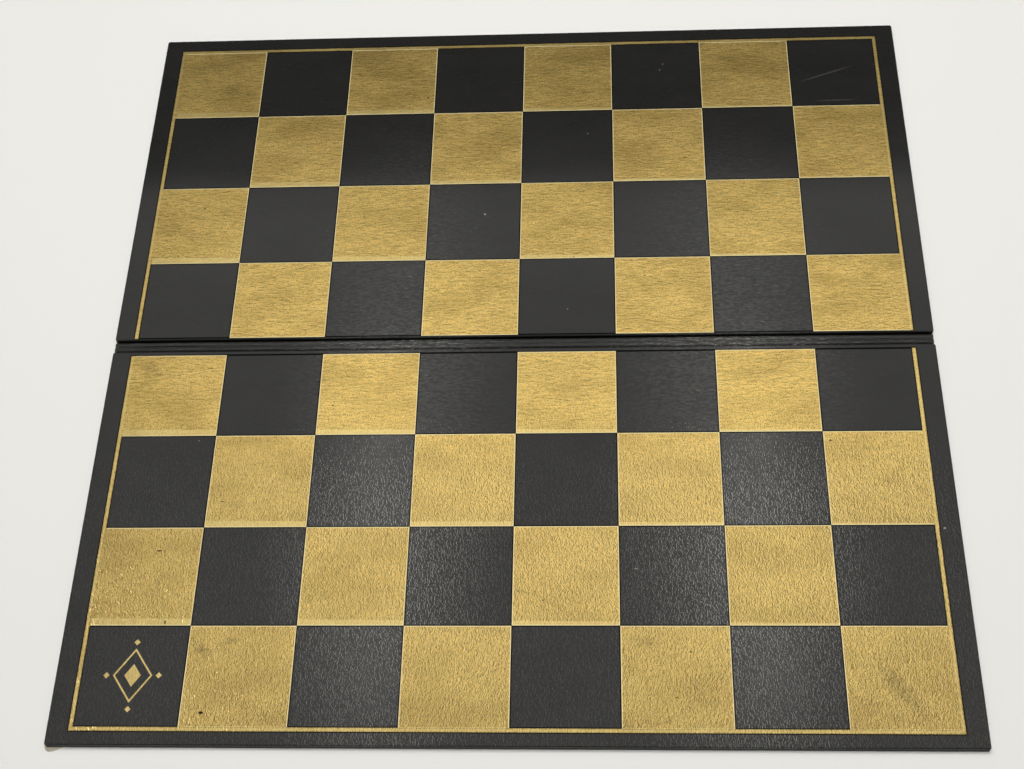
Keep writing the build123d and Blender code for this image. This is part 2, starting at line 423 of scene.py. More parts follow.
def leatherette(name, shared, lightness, depth, roughness, specular=0.44, glint_slopes=(0.06, 0.15)):
    """Black leatherette with a satin finish, painted sheen in patches and streaks, painted glints on the
    crests of its grain, and a few scuffs.
    """
    made, tree = new_material(name)
    rolled = group_outputs(tree, shared["grain"])
    scuff = group_outputs(tree, shared["scuffs"])["Mark"]
    # Where the strip lamps' reflection falls, the dark squares are lightened: painted sheen
    sheen_mask = group_outputs(tree, shared["painted_sheen"])["Mark"]
    tones = {key: tuple(lightness * part for part in tone) + (1.0,) for key, tone in LEATHER_TONES.items()}
    cloud = spread(tree, rolled["Cloud"], 0.3, 0.7)
    colour = blend_colours(tree, cloud, tones["dark"], tones["pale"])
    colour = blend_colours(tree, sheen_mask, colour, tones["painted_sheen"])
    # Painted sheen in pale streaks shows most in the sheen patches
    sheen_streak = calculate(tree, "MULTIPLY", rolled["Streaks"], calculate(tree, "MULTIPLY_ADD", sheen_mask, 0.8, 0.03))
    colour = blend_colours(tree, sheen_streak, colour, tones["sheen_streak"])
    # Painted glints on the crests also show most in the sheen patches, and less on the far half
    crest = calculate(tree, "MULTIPLY", spread(tree, rolled["Slope"], *glint_slopes),
                      calculate(tree, "MULTIPLY_ADD", sheen_mask, 0.9, 0.1))
    nearness = calculate(tree, "MULTIPLY_ADD", rolled["Distance"], -0.5, 1.0)
    colour = blend_colours(tree, calculate(tree, "MULTIPLY", crest, nearness), colour, tones["crest"])
    colour = blend_colours(tree, scuff, colour, SCUFF_COLOUR)
    gloss = spread(tree, rolled["Fine"], 0.25, 0.75, *roughness)
    finish_material(tree, colour, gloss, rolled["Height"], depth, specular=specular)
    return made


def foil(name, shared, pale, dark, depth, roughness, metallic=1.0):
    """Gold stamping foil, with painted shade on one flank of each wrinkle and painted glints on the other,
    darker in mottles and pits, with specks and smudges.
    """
    made, tree = new_material(name)
    rolled = group_outputs(tree, shared["grain"])
    # Painted shade on the flank of the grain that faces away from the light
    painted_flank_shade = spread(tree, rolled["Slope"], -0.15, 0.01)
    # Painted glints on the flank of the grain that faces the light
    painted_glint = spread(tree, rolled["Slope"], 0.02, 0.13, 0.0, 0.9)
    pits = spread(tree, rolled["Fine"], 0.34, 0.47)
    patch = spread(tree, rolled["Cloud"], 0.3, 0.62)
    # The foil is less whole in patches, mottles and pits, and darker on one flank of the grain: painted
    # shade
    wear_and_shade = calculate(tree, "MULTIPLY", spread(tree, rolled["Mottle"], 0.05, 0.52),
                      calculate(tree, "MULTIPLY_ADD", patch, 0.3, 0.7))
    wear_and_shade = calculate(tree, "MULTIPLY", wear_and_shade, calculate(tree, "MULTIPLY_ADD", painted_flank_shade, 0.95, 0.05))
    wear_and_shade = calculate(tree, "MULTIPLY", wear_and_shade, calculate(tree, "MULTIPLY_ADD", pits, 0.55, 0.45))
    colour = blend_colours(tree, wear_and_shade, dark, pale)
    colour = blend_colours(tree, painted_glint, colour, PAINTED_GLINT_COLOUR)
    mottle = calculate(tree, "MULTIPLY", spread(tree, rolled["Fine"], 0.36, 0.62, 1.0, 0.0),
                       spread(tree, rolled["Mottle"], 0.35, 0.6, 1.0, 0.0))
    smudge = calculate(tree, "MULTIPLY", group_outputs(tree, shared["smudges"])["Mark"],
                       calculate(tree, "MULTIPLY_ADD", mottle, 0.7, 0.3))
    colour = blend_colours(tree, smudge, colour, SMUDGE_COLOUR)
    speck = group_outputs(tree, shared["specks"])["Mark"]
    colour = blend_colours(tree, speck, colour, SPECK_COLOUR)
    gloss = spread(tree, rolled["Cloud"], 0.25, 0.75, *roughness)
    finish_material(tree, colour, gloss, rolled["Height"], depth, metallic=metallic)
    return made


def paper(name):
    """Cream lining paper with flecks and a faint tooth."""
    made, tree = new_material(name)
    point = object_point(tree)
    fibres = noise_value(tree, point, (1500, 350, 900), detail=4.0, roughness=0.6)
    stain = noise_value(tree, point, (14, 18, 14), detail=4.0, roughness=0.6)
    fresh = spread(tree, fibres, 0.3, 0.7)
    colour = blend_colours(tree, fresh, PAPER_COLOURS["dark"], PAPER_COLOURS["pale"])
    colour = blend_colours(tree, spread(tree, stain, 0.5, 0.8), colour, PAPER_COLOURS["aged"])
    finish_material(tree, colour, 0.85, fibres, 0.00004, specular=0.2)
    return made


def book_cloth(name):
    """Black book cloth in a plain weave."""
    made, tree = new_material(name)
    point = object_point(tree)
    threads = []
    for direction in ("X", "Y"):
        wave = add_node(tree, "ShaderNodeTexWave", {"bands_direction": direction}, Vector=point,
                        Scale=560.0, Distortion=1.2, Detail=2.0)
        threads.append(wave.outputs["Fac"])
    weave = calculate(tree, "MAXIMUM", *threads)
    lint = noise_value(tree, point, (900, 900, 900), detail=3.0)
    shade = spread(tree, calculate(tree, "MULTIPLY", weave, lint), 0.1, 0.6)
    colour = blend_colours(tree, shade, CLOTH_COLOURS["dark"], CLOTH_COLOURS["pale"])
    finish_material(tree, colour, 0.75, weave, 0.00015, specular=0.3)
    return made


def raw_board(name):
    """Greyboard pressed from mixed waste paper."""
    made, tree = new_material(name)
    point = object_point(tree)
    pulp = noise_value(tree, point, (300, 300, 300), detail=5.0, roughness=0.65)
    fleck = noise_value(tree, point, (1400, 1400, 1400), detail=1.0)
    shade = spread(tree, pulp, 0.35, 0.65)
    colour = blend_colours(tree, shade, BOARD_COLOURS["dark"], BOARD_COLOURS["pale"])
    colour = blend_colours(tree, spread(tree, fleck, 0.66, 0.76), colour, BOARD_COLOURS["fleck"])
    finish_material(tree, colour, 0.92, pulp, 0.0001, specular=0.2)
    return made


def make_materials():
    """Every finish on the board, by name."""
    shared = {
        "grain": embossed_grain(),
        "scuffs": mark_group("leather_scuffs", LEATHER_SCUFFS, 0.0006, 0.5),
        # Where painted sheen lies on the dark squares
        "painted_sheen": mark_group("painted_sheen_patches", PAINTED_SHEEN_PATCHES, 0.01, 0.1),
        "specks": mark_group("foil_specks", FOIL_SPECKS, 0.0006, 0.6),
        "smudges": mark_group("foil_smudges", FOIL_SMUDGES, 0.004, 0.2),
    }
    return {
        "leatherette": leatherette("grained_leatherette", shared, 1.0, 0.00006, (0.08, 0.11)),
        # Near black, for the pressed grooves: painted shade
        "shaded_pressed_leatherette": leatherette("shaded_pressed_leatherette", shared, 0.12, 0.00003, (0.5, 0.6), 0.05),
        # Darker and duller, for the wrapped walls: painted shade, and a duller finish where the covering is
        # stretched
        "shaded_edge_leatherette": leatherette("shaded_folded_leatherette", shared, 0.45, 0.00003, (0.5, 0.6), 0.08),
        # The hinge's ridge gets painted glints on gentler slopes of its grain
        "strip_leatherette": leatherette("hinge_leatherette", shared, 1.15, 0.00005, (0.15, 0.25),
                                         glint_slopes=(0.025, 0.085)),
        "foil": foil("stamped_foil", shared, (1.0, 0.72, 0.235, 1), (0.24, 0.135, 0.022, 1), 0.0002,
                     (0.29, 0.32)),
        # Paler and less metallic, for the rims: a painted highlight
        "foil_rim_highlight": foil("foil_rim_highlight", shared, (1.0, 0.87, 0.5, 1), (0.96, 0.79, 0.41, 1), 0.00002,
                         (0.34, 0.38), metallic=0.5),
        # Paler foil, for the overlap of a second stamping and for the painted highlight along the frame
        # line's middle
        "foil_overlap_and_highlight": foil("foil_overlap_and_highlight", shared, (1.0, 0.8, 0.33, 1), (0.68, 0.47, 0.14, 1), 0.0002,
                             (0.29, 0.32)),
        "paper": paper("cream_lining_paper"),
        "cloth": book_cloth("black_book_cloth"),
        "greyboard": raw_board("raw_greyboard"),
    }


# Mesh helpers

def box_mesh(low, high):
    """A box between two corners."""
    mesh = bmesh.new()
    bmesh.ops.create_cube(mesh, size=1.0)
    bmesh.ops.scale(mesh, vec=high - low, verts=mesh.verts)
    bmesh.ops.translate(mesh, vec=(low + high) / 2, verts=mesh.verts)
    return mesh


def sheet_mesh(low, high, columns, rows):
    """A level sheet at the lower corner's height, divided both ways."""
    mesh = bmesh.new()
    bmesh.ops.create_grid(mesh, x_segments=columns, y_segments=rows, size=0.5)
    bmesh.ops.scale(mesh, vec=(high.x - low.x, high.y - low.y, 1.0), verts=mesh.verts)
    bmesh.ops.translate(mesh, vec=((low.x + high.x) / 2, (low.y + high.y) / 2, low.z), verts=mesh.verts)
    return mesh


def soften(mesh, edges, radius, segments):
    """Rounds edges."""
    bmesh.ops.bevel(mesh, geom=edges, offset=radius, offset_type="OFFSET", segments=segments, profile=0.5,
                    affect="EDGES", material=-1)


def cut(mesh, faces, place, direction):
    """Cuts only these faces along a plane."""
    parts = set(faces)
    for face in faces:
        parts.update(face.edges)
        parts.update(face.verts)
    bmesh.ops.bisect_plane(mesh, geom=list(parts), dist=CUT_TOLERANCE, plane_co=place, plane_no=direction)


def level_faces(mesh, height, facing, reach_x=1.0, start=0.0, end=1.0):
    """The faces at a height that face up or down, within a reach along X and two distances along Y."""
    mesh.normal_update()
    found = []
    for face in mesh.faces:
        middle = face.calc_center_median()
        level = abs(middle.z - height) < SAME_PLACE and face.normal.z * facing > LEVEL_NORMAL
        if level and abs(middle.x) < reach_x and start < abs(middle.y) < end:
            found.append(face)
    return found


def rim_edges(mesh, height):
    """The edges that lie round the outside at a height."""
    return [e for e in mesh.edges if all(abs(v.co.z - height) < SAME_PLACE for v in e.verts)]


def inset_each(mesh, faces, width, depth=0.0):
    """Insets each face by itself and gives the new faces round it."""
    made = bmesh.ops.inset_individual(mesh, faces=faces, thickness=width, depth=depth, use_even_offset=True)
    return made["faces"]


def new_piece(name, mesh, finishes, body, replaced):
    """An object for a finished mesh, with its finishes, and the body that carries it if rigid."""
    data = bpy.data.meshes.new(name)
    mesh.to_mesh(data)
    mesh.free()
    for finish in finishes:
        data.materials.append(materials[finish])
    piece = bpy.data.objects.new(name, data)
    bpy.context.scene.collection.objects.link(piece)
    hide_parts(*replaced)
    if body:
        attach(piece, body)
    return piece


def add_thickness(piece, thickness):
    """Gives a skin its thickness, on the side away from its faces."""
    solid = piece.modifiers.new("thickness", "SOLIDIFY")
    solid.thickness = thickness
    solid.offset = -1.0
    solid.use_even_offset = True


def shade_smooth(piece):
    """Smooth shading all over."""
    for face in piece.data.polygons:
        face.use_smooth = True


def waver_along(x, waver):
    """How far something wavers at a place along the hinge."""
    height, waves, noise_slice = waver
    return height * noise.noise((x * waves, noise_slice, 0))


def unevenness(x, y, sheet):
    """How uneven a sheet is at a place."""
    height, waves_x, waves_y, noise_slice = sheet
    return height * noise.noise((x * waves_x, y * waves_y, noise_slice))


# The covering of each half

def rank_lines(half):
    """The distances from the hinge at which the ranks begin and end."""
    low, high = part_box(f"{half}_gold_frame")
    first = min(abs(low.y), abs(high.y))
    second = first + HINGE_RANK_DEPTH
    return [first] + [second + n * SQUARE_SIZE for n in range(RANKS_PER_HALF)]


def file_lines():
    """The places along X at which the files begin and end."""
    return [(n - FILE_COUNT / 2) * SQUARE_SIZE for n in range(FILE_COUNT + 1)]


def is_gold(half, x, distance):
    """Whether foil lies on this place of the field."""
    lines = rank_lines(half)
    columns = file_lines()
    inner_end = lines[-1] - FRAME_LINE_WIDTH
    if abs(x) > columns[-1] - FRAME_LINE_WIDTH or distance > inner_end:
        return True
    step = sum(distance > line for line in lines[1:])
    column = sum(x > line for line in columns[1:])
    rank = RANKS_PER_HALF - step if half == "near" else RANKS_PER_HALF + 1 + step
    return (column + rank) % 2 == 0


def turn_in_underside(mesh, side, low, high):
    """Opens the underside: turn-ins stay on three sides, with slits where they meet."""
    outer = max(abs(low.y), abs(high.y))
    inner_x = high.x - TURN_IN_WIDTH
    flap_end = PIVOT_DISTANCE + FLAP_WIDTH + TURN_IN_GAP
    for x in (-inner_x, inner_x):
        cut(mesh, level_faces(mesh, low.z, -1), (x, 0, 0), (1, 0, 0))
    for distance in (outer - TURN_IN_WIDTH, flap_end):
        cut(mesh, level_faces(mesh, low.z, -1), (0, side * distance, 0), (0, 1, 0))
    window = level_faces(mesh, low.z, -1, inner_x, 0, outer - TURN_IN_WIDTH)
    window += level_faces(mesh, low.z, -1, high.x, 0, flap_end)
    bmesh.ops.delete(mesh, geom=list(set(window)), context="FACES")
    for edge in (-1, 1):
        across = Vector((edge, -side, 0)).normalized()
        corner = Vector((edge * inner_x, side * (outer - TURN_IN_WIDTH), low.z))
        for shift in (-1, 1):
            meeting = [f for f in level_faces(mesh, low.z, -1, 1.0, outer - TURN_IN_WIDTH)
                       if edge * f.calc_center_median().x > inner_x]
            cut(mesh, meeting, corner + across * shift * MITRE_SLIT_WIDTH / 2, across)
        slit = [f for f in level_faces(mesh, low.z, -1, 1.0, outer - TURN_IN_WIDTH)
                if abs((f.calc_center_median() - corner).dot(across)) < MITRE_SLIT_WIDTH / 4]
        bmesh.ops.delete(mesh, geom=slit, context="FACES")


def hinge_wall(mesh):
    """The faces of the wall on the hinge side, with its corners."""
    return [f for f in mesh.faces if abs(f.calc_center_median().y) < PIVOT_DISTANCE + CORNER_RADIUS]


def open_hinge_foot(mesh):
    """Ends the hinge side's wall at the level of the core, where the hinge cloth begins."""
    cut(mesh, hinge_wall(mesh), (0, 0, CORE_LEVEL), (0, 0, 1))
    foot = [f for f in hinge_wall(mesh) if f.calc_center_median().z < CORE_LEVEL]
    bmesh.ops.delete(mesh, geom=foot, context="FACES")


def press_field(mesh, half, side, top):
    """Presses the printed field in: a roll round each leatherette square, and a pocket under each foil, all
    in a near-black leatherette that paints the shade of the groove.
    """
    lines = rank_lines(half)
    columns = file_lines()
    reach = columns[-1]
    inner_reach = reach - FRAME_LINE_WIDTH
    outside_x = [-reach - PRESS_WIDTH, -reach, reach, reach + PRESS_WIDTH]
    outside_y = [lines[0] - PRESS_WIDTH, lines[0], lines[-1], lines[-1] + PRESS_WIDTH]
    for x in outside_x:
        cut(mesh, level_faces(mesh, top, 1), (x, 0, 0), (1, 0, 0))
    for distance in outside_y:
        cut(mesh, level_faces(mesh, top, 1), (0, side * distance, 0), (0, 1, 0))
    for x in [-inner_reach] + columns[1:-1] + [inner_reach]:
        cut(mesh, level_faces(mesh, top, 1, reach, lines[0], lines[-1]), (x, 0, 0), (1, 0, 0))
    for distance in lines[1:-1] + [lines[-1] - FRAME_LINE_WIDTH]:
        field = level_faces(mesh, top, 1, reach, lines[0], lines[-1])
        cut(mesh, field, (0, side * distance, 0), (0, 1, 0))
    field = level_faces(mesh, top, 1, reach, lines[0], lines[-1])
    gold = [f for f in field if is_gold(half, f.calc_center_median().x, abs(f.calc_center_median().y))]
    dark = [f for f in field if f not in set(gold)]
    roll = [f for f in level_faces(mesh, top, 1, reach + PRESS_WIDTH, outside_y[0], outside_y[-1])
            if f not in set(field)]
    for corner in {v for f in field for v in f.verts}:
        corner.co.z = top - PRESS_DEPTH
    roll += inset_each(mesh, dark, PRESS_WIDTH)
    for corner in {v for f in dark for v in f.verts}:
        corner.co.z = top
    pocket = bmesh.ops.inset_region(mesh, faces=gold, thickness=POCKET_MARGIN,
                                    depth=PRESS_DEPTH - POCKET_DEPTH, use_boundary=True,
                                    use_even_offset=True)["faces"]
    # The rolls and pockets get the near-black leatherette: painted shade in the pressed grooves
    for face in roll + pocket + gold:
        face.material_index = 1


def press_ornament(mesh, top):
    """Presses a pocket for every lozenge of the ornament into the dark square a1."""
    low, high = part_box("gold_corner_ornament")
    ornament = ornament_mesh()
    middle = Vector(((low.x + high.x) / 2, (low.y + high.y) / 2, top))
    square = min(level_faces(mesh, top, 1), key=lambda f: (f.calc_center_median() - middle).length)
    border = square.edges[:]
    bmesh.ops.delete(mesh, geom=[square], context="FACES_ONLY")
    wall_edges = [e for e in rim_edges(ornament, high.z)
                  if any(abs(f.normal.z) < WALL_NORMAL for f in e.link_faces)]
    tips = dict.fromkeys(v for e in wall_edges for v in e.verts)
    corners = {v: mesh.verts.new((v.co.x, v.co.y, top)) for v in tips}
    outlines = [mesh.edges.new([corners[v] for v in e.verts]) for e in wall_edges]
    filled = bmesh.ops.triangle_fill(mesh, use_beauty=True, edges=border + outlines)["geom"]
    leather = [f for f in filled if isinstance(f, bmesh.types.BMFace)]
    sides = bmesh.ops.extrude_edge_only(mesh, edges=outlines)["geom"]
    floor_edges = [e for e in sides
                   if isinstance(e, bmesh.types.BMEdge) and not set(e.verts) & set(corners.values())]
    for corner in {v for e in floor_edges for v in e.verts}:
        corner.co.z = top - POCKET_DEPTH
    floors = bmesh.ops.triangle_fill(mesh, use_beauty=True, edges=floor_edges)["geom"]
    for face in sides + floors:
        if isinstance(face, bmesh.types.BMFace):
            face.material_index = 1
    for face in leather + floors:
        if isinstance(face, bmesh.types.BMFace):
            face.normal_update()
            if face.normal.z < 0:
                face.normal_flip()
    ornament.free()


def covering(half):
    """One half's leatherette: wrapped over the core, turned in underneath and pressed under the foil."""
    side = SIDES[half]
    low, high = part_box(f"{half}_cover")
    mesh = box_mesh(low, high)
    upright = [e for e in mesh.edges if abs(e.verts[0].co.z - e.verts[1].co.z) > SAME_PLACE]
    soften(mesh, upright, CORNER_RADIUS, EDGE_SEGMENTS)
    soften(mesh, rim_edges(mesh, high.z), TOP_EDGE_RADIUS, EDGE_SEGMENTS)
    soften(mesh, rim_edges(mesh, low.z), BOTTOM_EDGE_RADIUS, UNDERSIDE_SEGMENTS)
    turn_in_underside(mesh, side, low, high)
    open_hinge_foot(mesh)
    press_field(mesh, half, side, high.z)
    if half == "near":
        press_ornament(mesh, high.z)
    bmesh.ops.recalc_face_normals(mesh, faces=mesh.faces)
    for face in mesh.faces:
        face.smooth = abs(face.normal.z) < FLAT_NORMAL
        # The walls below the top edge get the darker leatherette: painted shade
        if abs(face.normal.z) < EDGE_NORMAL and face.calc_center_median().z < high.z - TOP_EDGE_RADIUS:
            face.material_index = 2
    finishes = ["leatherette", "shaded_pressed_leatherette", "shaded_edge_leatherette"]
    piece = new_piece(f"{half}_covering", mesh, finishes, f"{half}_half",
                      [f"{half}_cover"])
    add_thickness(piece, COVERING_THICKNESS)


# The core of each half

def greyboard_core(half):
    """The greyboard inside the covering. It keeps its shape and gets the finish of raw board."""
    panel = frame["nodes"][f"{half}_board_panel"]
    for holder in panel.material_slots:
        holder.material = materials["greyboard"]


# The foil

def overlap_height(x):
    """How far up a square the second, slightly turned stamping overlaps the first."""
    reach = file_lines()[-1]
    share = (x + reach) / (2 * reach)
    return OVERLAP_LEFT + (OVERLAP_RIGHT - OVERLAP_LEFT) * share


def foil_square(node, body):
    """A foil square: a paler rim, a painted highlight where the die pressed hardest, and the overlap along
    its near side.
    """
    low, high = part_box(node)
    mesh = box_mesh(low, high)
    top = level_faces(mesh, high.z, 1)
    rim = inset_each(mesh, top, FOIL_RIM_WIDTH)
    side_end = file_lines()[-1] - FRAME_LINE_WIDTH - FOIL_RIM_WIDTH
    near_end = rank_lines("near")[-1] - FRAME_LINE_WIDTH - FOIL_RIM_WIDTH
    for face in rim:
        middle = face.calc_center_median()
        # The rim, except beside the frame line at the sides and the near end, gets the paler foil: a painted
        # highlight
        if abs(middle.x) < side_end and middle.y > -near_end:
            face.material_index = 1
    left = Vector((low.x, low.y + overlap_height(low.x), high.z))
    right = Vector((high.x, low.y + overlap_height(high.x), high.z))
    along = (right - left).normalized()
    touches_hinge = min(abs(low.y), abs(high.y)) < 2 * PIVOT_DISTANCE and body == "far_half"
    if not touches_hinge:
        cut(mesh, top, left, Vector((-along.y, along.x, 0)))
        inner = [f for f in level_faces(mesh, high.z, 1) if f.material_index == 0]
        overlap = min(inner, key=lambda f: f.calc_center_median().y)
        step = inset_each(mesh, [overlap], OVERLAP_EDGE, OVERLAP_RISE)
        for face in step + [overlap]:
            face.material_index = 2
    name = node.replace("gold_square", "foil_square")
    new_piece(name, mesh, ["foil", "foil_rim_highlight", "foil_overlap_and_highlight"], body, [node])


def foil_squares(half):
    """Every foil square of one half."""
    body = f"{half}_half"
    for node in frame["record"]["behaviour"]["bodies"][body]:
        if node.startswith("gold_square"):
            foil_square(node, body)


def frame_line(half):
    """The line round three sides of one half's field, with a painted highlight of paler foil along its
    middle, and duller at its edges.
    """
    side = SIDES[half]
    low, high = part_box(f"{half}_gold_frame")
    start = min(abs(low.y), abs(high.y))
    extra = Vector((0, FRAME_LINE_WIDTH * 2, 0))
    if side < 0:
        mesh = box_mesh(low, high + extra)
    else:
        mesh = box_mesh(low - extra, high)
    for facing, height in ((1, high.z), (-1, low.z)):
        inset_each(mesh, level_faces(mesh, height, facing), FRAME_LINE_WIDTH)
    mesh.normal_update()
    middles = [f for f in mesh.faces if abs(f.normal.z) > LEVEL_NORMAL and f.calc_area() > SQUARE_SIZE ** 2]
    bridge = [e for f in middles for e in f.edges]
    bmesh.ops.delete(mesh, geom=middles, context="FACES_ONLY")
    bmesh.ops.bridge_loops(mesh, edges=bridge)
    everything = mesh.verts[:] + mesh.edges[:] + mesh.faces[:]
    ends = bmesh.ops.bisect_plane(mesh, geom=everything, dist=CUT_TOLERANCE, plane_co=(0, side * start, 0),
                                  plane_no=(0, side, 0), clear_inner=True)["geom_cut"]
    bmesh.ops.holes_fill(mesh, edges=[e for e in ends if isinstance(e, bmesh.types.BMEdge)])
    top = level_faces(mesh, high.z, 1)
    bmesh.ops.inset_region(mesh, faces=top, thickness=(FRAME_LINE_WIDTH - FRAME_CORE_WIDTH) / 2,
                           use_boundary=True, use_even_offset=True)
    # The middle gets the paler foil: a painted highlight
    for face in top:
        face.material_index = 1
    bmesh.ops.recalc_face_normals(mesh, faces=mesh.faces)
    new_piece(f"{half}_frame_line", mesh, ["foil", "foil_overlap_and_highlight"], f"{half}_half",
              [f"{half}_gold_frame"])


def ornament_mesh():
    """The outlines of the corner ornament's lozenges as solid foil, with plain sides."""
    mesh = bmesh.new()
    mesh.from_mesh(frame["nodes"]["gold_corner_ornament"].data)
    bmesh.ops.remove_doubles(mesh, verts=mesh.verts, dist=SAME_PLACE)
    bmesh.ops.dissolve_limit(mesh, angle_limit=math.radians(1), verts=mesh.verts, edges=mesh.edges)
    return mesh


def corner_ornament():
    """A plain ornament of lozenges in the dark square a1."""
    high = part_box("gold_corner_ornament")[1]
    mesh = ornament_mesh()
    for face in level_faces(mesh, high.z, 1):
        face.material_index = 1
    new_piece("corner_lozenges", mesh, ["foil", "foil_overlap_and_highlight"], "near_half",
              ["gold_corner_ornament"])


# The hinge

def ridge_height(x, y):
    """The height of the buckled ridge, which is deeper in its crease towards the hinge's ends."""
    middle = (RIDGE_REACH["far"] - RIDGE_REACH["near"]) / 2
    half_width = (RIDGE_REACH["far"] + RIDGE_REACH["near"]) / 2
    share = min(1.0, abs(y - middle) / half_width)
    dome = math.sqrt(1 - share ** RIDGE_SQUARENESS)
    deeper = min(1.0, max(0.0, (abs(x) - DEEPER_FROM) / DEEPER_OVER))
    crest = RIDGE_CREST + waver_along(x, CREST_WAVER)
    from_crease = y - CREASE_PLACE - waver_along(x, CREASE_WAVER)
    crease = (CREASE_DEPTH + CREASE_DEPTH_GAIN * deeper) * math.exp(-(from_crease / CREASE_WIDTH) ** 2)
    hollow = (HOLLOW_DEPTH + HOLLOW_DEPTH_GAIN * deeper) * math.exp(-(from_crease / HOLLOW_WIDTH) ** 2)
    wrinkle = unevenness(x, y, RIDGE_WRINKLES)
    return STRIP_FOOT_LEVEL + (crest - STRIP_FOOT_LEVEL - crease - hollow + wrinkle) * dome


def ridge_half(half):
    """One side of the covering that is buckled up in the hinge."""
    side = SIDES[half]
    low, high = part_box("hinge_strip")
    mesh = sheet_mesh(Vector((low.x, 0, 0)), Vector((high.x, 1, 0)), RIDGE_COLUMNS, RIDGE_ROWS)
    for corner in mesh.verts:
        corner.co.y = side * RIDGE_REACH[half] * math.sin(corner.co.y * math.pi / 2)
        corner.co.z = ridge_height(corner.co.x, corner.co.y)
    for face in mesh.faces:
        face.smooth = True
    border = [e for e in mesh.edges if e.is_boundary]
    walls = bmesh.ops.extrude_edge_only(mesh, edges=border)["geom"]
    foot = [e for e in walls if isinstance(e, bmesh.types.BMEdge) and e.is_boundary]
    for corner in {v for e in foot for v in e.verts}:
        corner.co.z = (CORE_LEVEL + STRIP_FOOT_LEVEL) / 2
    bmesh.ops.holes_fill(mesh, edges=foot)
    for face in mesh.faces:
        if abs(face.normal.z) < WALL_NORMAL or len(face.verts) > 4:
            face.smooth = False
    bmesh.ops.recalc_face_normals(mesh, faces=mesh.faces)
    piece = new_piece(f"{half}_side_of_hinge_ridge", mesh, ["strip_leatherette"],
                      "hinge", ["hinge_strip"])
    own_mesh(piece)


def hinge_bed():
    """The covering pressed flat on the hinge cloth, under the ridge."""
    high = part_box("hinge_strip")[1]
    end = high.x - BED_INSET
    reach = PIVOT_DISTANCE - FOLD_CLEARANCE
    mesh = box_mesh(Vector((-end, -reach, CORE_LEVEL)), Vector((end, reach, STRIP_FOOT_LEVEL - RIDGE_SINK)))
    new_piece("hinge_strip_bed", mesh, ["strip_leatherette"], "hinge", ["hinge_strip"])


def cloth_piece(name, start, end, rows, replaced, body=None, bodies=None):
    """A stretch of the hinge cloth between two places along Y, on one body, or on none with its place baked
    into its mesh where it lies between two.
    """
    low = Vector((-CLOTH_REACH, start, CLOTH_LEVEL))
    high = Vector((CLOTH_REACH, end, CLOTH_LEVEL))
    mesh = sheet_mesh(low, high, CLOTH_COLUMNS, rows)
    bmesh.ops.reverse_faces(mesh, faces=mesh.faces)
    for corner in mesh.verts:
        corner.co.z += unevenness(corner.co.x, corner.co.y, CLOTH_UNEVENNESS)
    piece = new_piece(name, mesh, ["cloth"], body, replaced)
    add_thickness(piece, CLOTH_THICKNESS)
    shade_smooth(piece)
    if bodies:
        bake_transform(piece)


def hinge_cloth():
    """The cloth behind the hinge: a flap under each half, and the stretch between, which the hinge carries.
    """
    flap_end = PIVOT_DISTANCE + FLAP_WIDTH
    cloth_piece("near_cloth_flap", -flap_end, -CLOTH_SPLIT, FLAP_ROWS, ["near_hinge_flap"],
                bodies=("near_half", "hinge"))
    cloth_piece("middle_cloth", -CLOTH_SPLIT, CLOTH_SPLIT, MIDDLE_ROWS, ["hinge_backing"], body="hinge")
    cloth_piece("far_cloth_flap", CLOTH_SPLIT, flap_end, FLAP_ROWS, ["far_hinge_flap"],
                bodies=("hinge", "far_half"))


# The lining papers

def lining_bounds(low, high):
    """Where the turn-ins and the hinge cloth end under a paper: to the sides, and along Y from the hinge."""
    inset = TURN_IN_WIDTH + TURN_IN_GAP - LINING_INSET
    start = PIVOT_DISTANCE + FLAP_WIDTH + TURN_IN_GAP
    return high.x - inset, start, max(abs(low.y), abs(high.y)) - inset


def lining_height(x, distance, bounds):
    """How far the paper rises between the turn-ins."""
    side_end, start, end = bounds
    margin = min(side_end - abs(x), distance - start, end - distance)
    share = min(1.0, max(0.0, margin / LINING_SLOPE))
    return LINING_RISE * share * share * (3 - 2 * share)


def lining(half):
    """The paper glued over the turn-ins. One corner of the near one has come loose and sticks out."""
    side = SIDES[half]
    low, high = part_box(f"{half}_lining_paper")
    mesh = sheet_mesh(Vector((low.x, low.y, 0)), Vector((high.x, high.y, 0)), LINING_COLUMNS, LINING_ROWS)
    bounds = lining_bounds(low, high)
    side_end, start, end = bounds
    for x in (-side_end, LINING_SLOPE - side_end, side_end - LINING_SLOPE, side_end):
        cut(mesh, mesh.faces[:], (x, 0, 0), (1, 0, 0))
    for distance in (start, start + LINING_SLOPE, end - LINING_SLOPE, end):
        cut(mesh, mesh.faces[:], (0, side * distance, 0), (0, 1, 0))
    if half == "near":
        tip = min(mesh.verts, key=lambda v: v.co.x + v.co.y)
        bmesh.ops.bevel(mesh, geom=[tip], offset=LOOSE_CORNER_ROUNDING, segments=LOOSE_CORNER_SEGMENTS,
                        profile=0.5, affect="VERTICES", material=-1)
    for corner in mesh.verts:
        x, y = corner.co.x, corner.co.y
        corner.co.z = lining_height(x, abs(y), bounds) * (1 + unevenness(x, y, LINING_UNEVENNESS))
        if half == "near":
            across = 1 - (x - low.x) / LOOSE_CORNER_SIZE
            along = 1 - (y - low.y) / LOOSE_CORNER_SIZE
            if across > 0 and along > 0:
                corner.co += LOOSE_CORNER_SHIFT * (across * along) ** LOOSE_CORNER_CURVE
    bmesh.ops.reverse_faces(mesh, faces=mesh.faces)
    piece = new_piece(f"{half}_lining", mesh, ["paper"], f"{half}_half",
                      [f"{half}_lining_paper"])
    add_thickness(piece, LINING_THICKNESS)
    shade_smooth(piece)


# The studio

